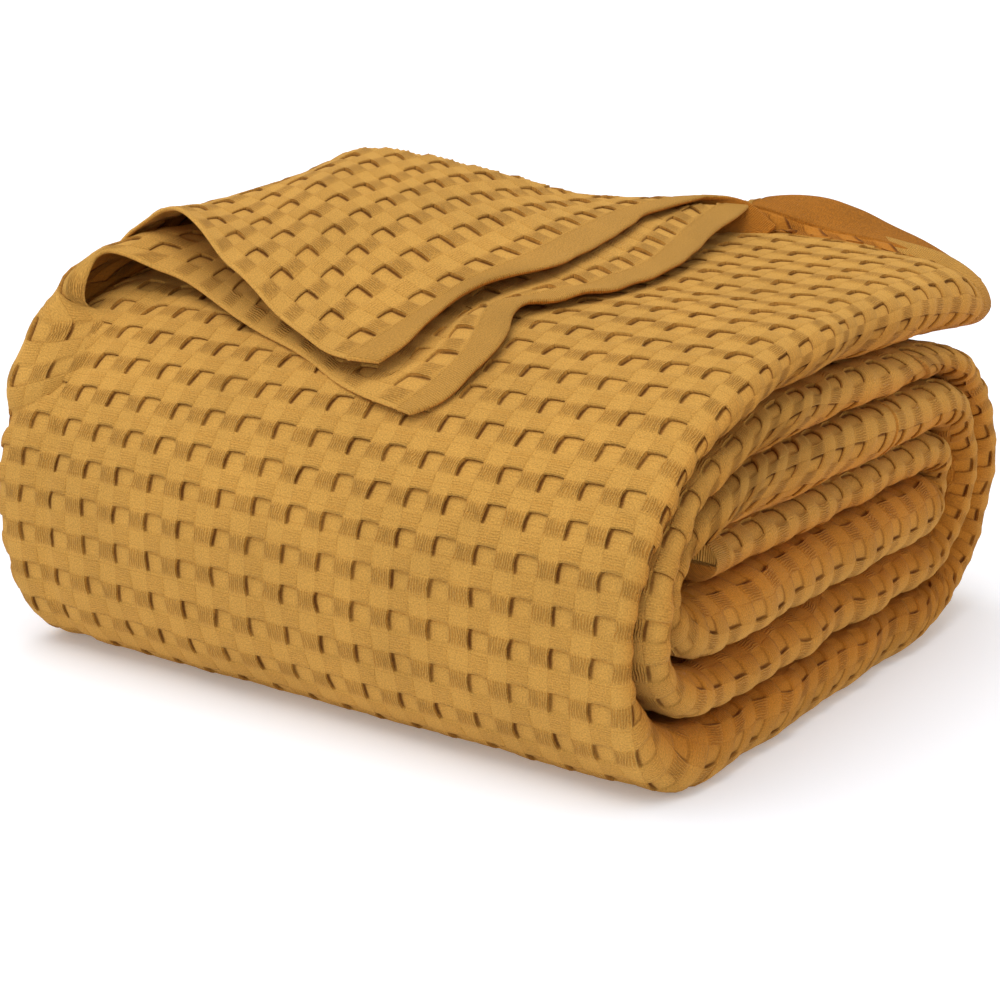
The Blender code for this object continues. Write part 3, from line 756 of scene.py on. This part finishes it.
def new_piece(name, points, faces, corners, marks, material, sharp):
    """An object at the origin from points in millimetres, faces and their corners' cells."""
    mesh = bpy.data.meshes.new(name)
    mesh.vertices.add(len(points))
    mesh.vertices.foreach_set("co", (points * MM).astype(np.float32).ravel())
    sizes = np.concatenate([np.full(len(group), group.shape[1]) for group in faces])
    used = np.concatenate([group.ravel() for group in faces])
    mesh.loops.add(len(used))
    mesh.loops.foreach_set("vertex_index", used.astype(np.int32))
    mesh.polygons.add(len(sizes))
    mesh.polygons.foreach_set("loop_start", (sizes.cumsum() - sizes).astype(np.int32))
    mesh.update(calc_edges=True)
    layer = mesh.uv_layers.new(name="cells")
    layer.data.foreach_set("uv", corners.astype(np.float32).ravel())
    mesh.polygons.foreach_set("use_smooth", np.ones(len(sizes), bool))
    for mark, values in marks.items():
        attribute = mesh.attributes.new(mark, 'FLOAT', 'POINT')
        attribute.data.foreach_set("value", values.astype(np.float32).ravel())
    if sharp:
        on_rim = np.zeros((len(sharp), len(points)), bool)
        for number, rim in enumerate(sharp):
            on_rim[number, rim] = True
        ends = np.empty(len(mesh.edges) * 2, np.int32)
        mesh.edges.foreach_get("vertices", ends)
        ends = ends.reshape(-1, 2)
        hard = (on_rim[:, ends[:, 0]] & on_rim[:, ends[:, 1]]).any(axis=0)
        mesh.edges.foreach_set("use_edge_sharp", hard)
    mesh.materials.append(material)
    piece = bpy.data.objects.new(name, mesh)
    bpy.context.scene.collection.objects.link(piece)
    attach(piece, BODY)
    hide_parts(NODE)
    return piece


# ---- The finish ----

def linear(hex_colour):
    """A hex sRGB colour as linear RGBA."""
    value = hex_colour.lstrip("#")
    parts = [int(value[k:k + 2], 16) / 255 for k in (0, 2, 4)]
    return (*[p / 12.92 if p <= 0.04045 else ((p + 0.055) / 1.055) ** 2.4 for p in parts], 1.0)


def add(tree, kind, sockets=None, out=0, **settings):
    """One node: its settings, and its sockets by name or number, each a value or a link. Gives
    back one of its outputs, by name or number."""
    made = tree.nodes.new(kind)
    for name, value in settings.items():
        setattr(made, name, value)
    for name, value in (sockets or {}).items():
        if isinstance(value, bpy.types.NodeSocket):
            tree.links.new(value, made.inputs[name])
        else:
            made.inputs[name].default_value = value
    return made.outputs[out]


WAVE_RATE = math.pi / 10    # a wave texture's scale for one band to a unit
FIBRE_RATE = 27.0           # fuzz, about 0.6 mm: coarser than real fibres so that it shows
FIBRE_RANGE = (0.34, 0.66)  # the part of the fuzz's noise that is stretched from 0 to 1
PATCH_RATE = 0.4            # uneven dye, about 40 mm
BORDER = 0.022              # half the width of the furrow round each quarter of a cell
FIBRE_TALL = 0.22           # heights of the fuzz and depth of the furrows, in millimetres
FURROW_DEEP = 0.10
FURROW_DARK = 0.22          # how much painted shade, in the groove colour, is in a furrow
SHADE_DARK = 0.85           # how much of the painted shade's colour is in the deepest painted shade
DYE_VARIES = 0.35           # how much brightness varies with the dye, and with the fuzz
FIBRE_VARIES = 0.36
NOOK_SHADE_TINT = "#EDCB96"       # painted shade in nooks: cotton lit only by cotton looks redder and deeper

# The threads that a mark of the mesh turns on: how many there are to a cell, the axis that they
# are counted along, how wavy they are, how tall in millimetres, and how much painted shade, in
# the groove colour, lies between them.
THREADS = table(
    "mark count axis slack tall dark",
    ("warp", 15.0, 'X', 5.0, 0.52, 0.62),       # loose threads, seven or eight to a bundle
    ("weft", 17.0, 'Y', 3.5, 0.20, 0.25),       # flat threads
    ("band", 19.0, 'X', 1.0, 0.34, 0.42),       # fine ribs of the hem band, 0.83 mm apart
)


def matt_material(name, values):
    """A material and its Principled shader, with values for the shader's sockets."""
    material = bpy.data.materials.new(name)
    material.use_nodes = True
    shader = material.node_tree.nodes["Principled BSDF"]
    for socket, value in values.items():
        shader.inputs[socket].default_value = value
    return material, shader


def cotton(settings):
    """Waffle woven cotton, yarn dyed and washed: matt, with soft fuzz and no gloss.

    Marks on the mesh give each quarter of a cell its own threads: the quarters beside a pocket
    carry loose warp threads, those above and below it flat weft threads, and the hem band fine
    ribs. A furrow runs round each quarter. Painted shade darkens the furrows and the gaps between
    threads, painted shade darkens the undercut sides of the pockets, and painted shade, redder as
    cotton lit by cotton looks, deepens the nooks between folds."""
    material, shader = matt_material("waffle_cotton_cloth", {
        "Roughness": 0.95, "Specular IOR Level": 0.15, "Sheen Weight": 0.12,
        "Sheen Roughness": 0.5, "Sheen Tint": linear("#F2D08A")})
    tree = material.node_tree

    cells = add(tree, "ShaderNodeUVMap", out="UV", uv_map="cells")
    mark = {name: add(tree, "ShaderNodeAttribute", out="Fac", attribute_name=name)
            for name in ("shade", "warp", "weft", "band", "nook_shade")}
    fibre = add(tree, "ShaderNodeTexNoise",
                {"Vector": cells, "Scale": FIBRE_RATE, "Detail": 4.0}, out="Fac")
    fibre = add(tree, "ShaderNodeMapRange",
                {"Value": fibre, "From Min": FIBRE_RANGE[0], "From Max": FIBRE_RANGE[1]})
    dye = add(tree, "ShaderNodeTexNoise",
              {"Vector": cells, "Scale": PATCH_RATE, "Detail": 3.0}, out="Fac")

    # A furrow runs along every half of a cell, both ways: 1 in it and 0 away from it.
    places = [add(tree, "ShaderNodeSeparateXYZ", {"Vector": cells}, out=axis) for axis in "XY"]
    aside = [add(tree, "ShaderNodeMath", {0: place, 1: 0.25}, operation='PINGPONG')
             for place in places]
    nearest = add(tree, "ShaderNodeMath", {0: aside[0], 1: aside[1]}, operation='MINIMUM')
    furrow = add(tree, "ShaderNodeMapRange", {"Value": nearest, "From Min": 0.0,
                                              "From Max": BORDER, "To Min": 1.0, "To Max": 0.0},
                 interpolation_type='SMOOTHSTEP')
    woven = add(tree, "ShaderNodeMath", {0: 1.0, 1: mark["band"]}, operation='SUBTRACT')
    furrow = add(tree, "ShaderNodeMath", {0: furrow, 1: woven}, operation='MULTIPLY')

    # Fuzz, furrows and threads each add to the height and to how much painted shade, in the groove
    # colour, there is.
    lift = add(tree, "ShaderNodeMath", {0: fibre, 1: FIBRE_TALL}, operation='MULTIPLY')
    lift = add(tree, "ShaderNodeMath", {0: furrow, 1: -FURROW_DEEP, 2: lift},
               operation='MULTIPLY_ADD')
    painted_groove_shade = add(tree, "ShaderNodeMath", {0: furrow, 1: FURROW_DARK}, operation='MULTIPLY')
    for row in THREADS:
        here = mark[row["mark"]]
        thread = add(tree, "ShaderNodeTexWave",
                     {"Vector": cells, "Scale": WAVE_RATE * row["count"],
                      "Distortion": row["slack"], "Detail": 2.0, "Detail Scale": 1.0},
                     out="Fac", wave_type='BANDS', bands_direction=row["axis"])
        high = add(tree, "ShaderNodeMath", {0: thread, 1: row["tall"]}, operation='MULTIPLY')
        lift = add(tree, "ShaderNodeMath", {0: high, 1: here, 2: lift}, operation='MULTIPLY_ADD')
        low = add(tree, "ShaderNodeMath", {0: thread, 1: -row["dark"], 2: row["dark"]},
                  operation='MULTIPLY_ADD')
        painted_groove_shade = add(tree, "ShaderNodeMath", {0: low, 1: here, 2: painted_groove_shade},
                     operation='MULTIPLY_ADD')
    bump = add(tree, "ShaderNodeBump", {"Height": lift, "Distance": MM, "Strength": 1.0})

    # Painted shade in the undercut pockets
    sunk = add(tree, "ShaderNodeMath", {0: mark["shade"], 1: SHADE_DARK}, operation='MULTIPLY')
    cloth = linear(settings.cloth_colour_hex)
    # Painted shade laid over the cloth colour: in the grooves, in the undercut pockets, and multiplied
    # in the nooks.
    for share, tint, blend in ((painted_groove_shade, settings.groove_shade_colour_hex, 'MIX'),
                               (sunk, settings.shade_colour_hex, 'MIX'),
                               (mark["nook_shade"], NOOK_SHADE_TINT, 'MULTIPLY')):
        cloth = add(tree, "ShaderNodeMix", {"Factor": share, "A": cloth, "B": linear(tint)},
                    out="Result", data_type='RGBA', blend_type=blend)
    darkest = 1 - (DYE_VARIES + FIBRE_VARIES) / 2
    bright = add(tree, "ShaderNodeMath", {0: dye, 1: DYE_VARIES, 2: darkest},
                 operation='MULTIPLY_ADD')
    bright = add(tree, "ShaderNodeMath", {0: fibre, 1: FIBRE_VARIES, 2: bright},
                 operation='MULTIPLY_ADD')
    colour = add(tree, "ShaderNodeVectorMath", {0: cloth, "Scale": bright}, operation='SCALE')
    tree.links.new(colour, shader.inputs["Base Color"])
    tree.links.new(bump, shader.inputs["Normal"])
    return material


def pale_floor():
    """A matt white paper sweep, lit so that it reads as a plain white floor."""
    material, _ = matt_material("matt_white_paper", {
        "Base Color": linear("#EFF2F8"), "Roughness": 0.9, "Specular IOR Level": 0.1,
        "Emission Color": linear("#FFFFFF"), "Emission Strength": 0.18})
    return material


# ---- Settings, operators and panel ----

class BlanketSettings(bpy.types.PropertyGroup):
    """Sizes and colours of the blanket that a user would change."""
    cloth_colour_hex: bpy.props.StringProperty(
        name="Cloth colour", description="Hex sRGB colour of the dyed cotton", default="#D29D4B")
    # Painted shade between loose threads, between the hem's ribs and in the furrows
    groove_shade_colour_hex: bpy.props.StringProperty(
        name="Groove colour", description="Hex sRGB colour between loose threads",
        default="#B0701F")
    # Painted shade deep in the undercut pockets
    shade_colour_hex: bpy.props.StringProperty(
        name="Shade colour", description="Hex sRGB colour deep in the undercut pockets",
        default="#602C06")
    weave_relief: bpy.props.FloatProperty(
        name="Weave relief", description="Depth of the weave's pockets, 1 is the real depth",
        default=1.0, min=0.0, max=2.0, subtype='FACTOR')
    sheet_thickness: bpy.props.FloatProperty(
        name="Sheet thickness", description="Thickness of the turned-over sheets",
        default=SHEET_THICKNESS * MM, min=0.0005, max=0.004, precision=4, unit='LENGTH')


def shared_cotton(context):
    """The one cotton material, made on first use."""
    return (bpy.data.materials.get("waffle_cotton_cloth")
            or cotton(context.scene.blanket_settings))


def wound_piece(context, name, first, last, full, seed, hem=None, creased=False):
    """A length of the wound strip as one closed piece."""
    relief = context.scene.blanket_settings.weave_relief
    points, cells, marks, long = strip_skin(first, last, full, seed, relief, hem, creased)
    piece = closed_grid(name, points, cells, marks, shared_cotton(context))


def turned_piece(context, name, ribs, seed):
    """One turned-over sheet as a closed piece."""
    settings = context.scene.blanket_settings
    thickness = settings.sheet_thickness / MM
    points, cells, marks, flat = sheet_skin(ribs, seed, settings.weave_relief, thickness)
    piece = closed_grid(name, points, cells, marks, shared_cotton(context), slit=True)


# The lengths into which the strip is cut, in cells from its inner end, where no cut shows.
CELLS = dict(inner_end=0, core=42, inner=83, back=100, bottom=110, outer=136)


class BLANKET_OT_core_runs(bpy.types.Operator):
    """Builds the innermost runs of the roll"""
    bl_idname = "blanket.core_runs"
    bl_label = "Core runs"

    def execute(self, context):
        wound_piece(context, "core_runs", CELLS["inner_end"], CELLS["core"], full=False, seed=31,
                    hem="first")
        wound_piece(context, "inner_runs", CELLS["core"], CELLS["inner"], full=False, seed=41)
        return {'FINISHED'}


class BLANKET_OT_back_turn(bpy.types.Operator):
    """Builds the turn at the back of the roll and the run it rests on"""
    bl_idname = "blanket.back_turn"
    bl_label = "Back turn and bottom run"

    def execute(self, context):
        wound_piece(context, "back_turn", CELLS["inner"], CELLS["back"], full=True, seed=51)
        wound_piece(context, "bottom_run", CELLS["back"], CELLS["bottom"], full=False, seed=61)
        return {'FINISHED'}


class BLANKET_OT_outer_wrap(bpy.types.Operator):
    """Builds the roll's front and top"""
    bl_idname = "blanket.outer_wrap"
    bl_label = "Front and top"

    def execute(self, context):
        wound_piece(context, "outer_wrap", CELLS["bottom"], CELLS["outer"], full=True, seed=71,
                    hem="last", creased=True)
        return {'FINISHED'}


class BLANKET_OT_turned_corner(bpy.types.Operator):
    """Builds the two turned-over sheets of the outer end's corner"""
    bl_idname = "blanket.turned_corner"
    bl_label = "Turned-over corner"

    def execute(self, context):
        turned_piece(context, "lower_sheet", LOWER_SHEET, seed=81)
        turned_piece(context, "upper_sheet", UPPER_SHEET, seed=91)
        return {'FINISHED'}


# The camera, found from the corners of the weave's cells in the photograph.
CAMERA_PLACE = (0.46991, -0.74171, 0.29551)     # metres
CAMERA_LENS = 81.41         # millimetres, on a frame SENSOR_WIDTH wide
SENSOR_WIDTH = 36.0
CAMERA_YAW = 32.863         # degrees
CAMERA_DOWN = 15.644
CAMERA_ROLL = 1.573

FLOOR_HALF = 12000.0        # far enough to fill the picture
SKY_STRENGTH = 0.64         # how bright the even white light from all round is
KEY_FROM = (-0.20, -0.12, 1.0)      # direction towards the broad soft light
KEY_STRENGTH = 1.8
KEY_SPREAD = 60.0           # degrees: a large softbox close by


class BLANKET_OT_stage(bpy.types.Operator):
    """Builds the pale floor, the soft studio light and the camera"""
    bl_idname = "blanket.stage"
    bl_label = "Stage"

    def execute(self, context):
        self.floor()
        self.light()
        self.camera()
        return {'FINISHED'}

    def floor(self):
        """A level square under the roll."""
        half = FLOOR_HALF
        points = np.array([(-half, -half, 0), (half, -half, 0), (half, half, 0), (-half, half, 0)])
        mesh = bpy.data.meshes.new("floor")
        mesh.from_pydata((points * MM).tolist(), [], [(0, 1, 2, 3)])
        mesh.materials.append(pale_floor())
        ground = bpy.data.objects.new("floor", mesh)
        bpy.context.scene.collection.objects.link(ground)

    def light(self):
        """Even light from all round and a broad soft light from above."""
        world = bpy.data.worlds.new("soft_white_studio")
        world.use_nodes = True
        background = world.node_tree.nodes["Background"]
        background.inputs["Color"].default_value = (1.0, 1.0, 1.0, 1.0)
        background.inputs["Strength"].default_value = SKY_STRENGTH
        bpy.context.scene.world = world
        data = bpy.data.lights.new("key_light", 'SUN')
        data.energy = KEY_STRENGTH
        data.angle = math.radians(KEY_SPREAD)
        lamp = bpy.data.objects.new("key_light", data)
        lamp.rotation_euler = Vector(KEY_FROM).to_track_quat('Z', 'Y').to_euler()
        bpy.context.scene.collection.objects.link(lamp)

    def camera(self):
        """A camera turned to the left by yaw, tipped down, then rolled about its view."""
        yaw, down, roll = (math.radians(a) for a in (CAMERA_YAW, CAMERA_DOWN, CAMERA_ROLL))
        ahead = Vector((-math.sin(yaw) * math.cos(down), math.cos(yaw) * math.cos(down),
                        -math.sin(down)))
        level = Vector((math.cos(yaw), math.sin(yaw), 0.0))
        upright = level.cross(ahead)
        right = level * math.cos(roll) + upright * math.sin(roll)
        up = upright * math.cos(roll) - level * math.sin(roll)
        data = bpy.data.cameras.new("camera")
        data.lens = CAMERA_LENS
        data.sensor_width = SENSOR_WIDTH
        camera = bpy.data.objects.new("camera", data)
        turn = Matrix((right, up, -ahead)).transposed().to_4x4()
        camera.matrix_world = Matrix.Translation(CAMERA_PLACE) @ turn
        bpy.context.scene.collection.objects.link(camera)
        bpy.context.scene.camera = camera
        bpy.context.scene.view_settings.view_transform = 'Standard'


class BLANKET_PT_panel(bpy.types.Panel):
    """Lists the blanket's operators and settings"""
    bl_idname = "BLANKET_PT_panel"
    bl_label = "Waffle blanket"
    bl_space_type = 'VIEW_3D'
    bl_region_type = 'UI'
    bl_category = "Blanket"

    def draw(self, context):
        for item in STEPS:
            self.layout.operator(item.bl_idname)
        for name in BlanketSettings.__annotations__:
            self.layout.prop(context.scene.blanket_settings, name)


STEPS = (BLANKET_OT_core_runs, BLANKET_OT_back_turn, BLANKET_OT_outer_wrap,
         BLANKET_OT_turned_corner, BLANKET_OT_stage)
CLASSES = (BlanketSettings, *STEPS, BLANKET_PT_panel)


def register():
    for item in CLASSES:
        bpy.utils.register_class(item)
    bpy.types.Scene.blanket_settings = bpy.props.PointerProperty(type=BlanketSettings)


def unregister():
    del bpy.types.Scene.blanket_settings
    for item in reversed(CLASSES):
        bpy.utils.unregister_class(item)


def main():
    register()
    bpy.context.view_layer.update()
    for item in STEPS:
        group, name = item.bl_idname.split(".")
        getattr(getattr(bpy.ops, group), name)()


if __name__ == "__main__":
    main()
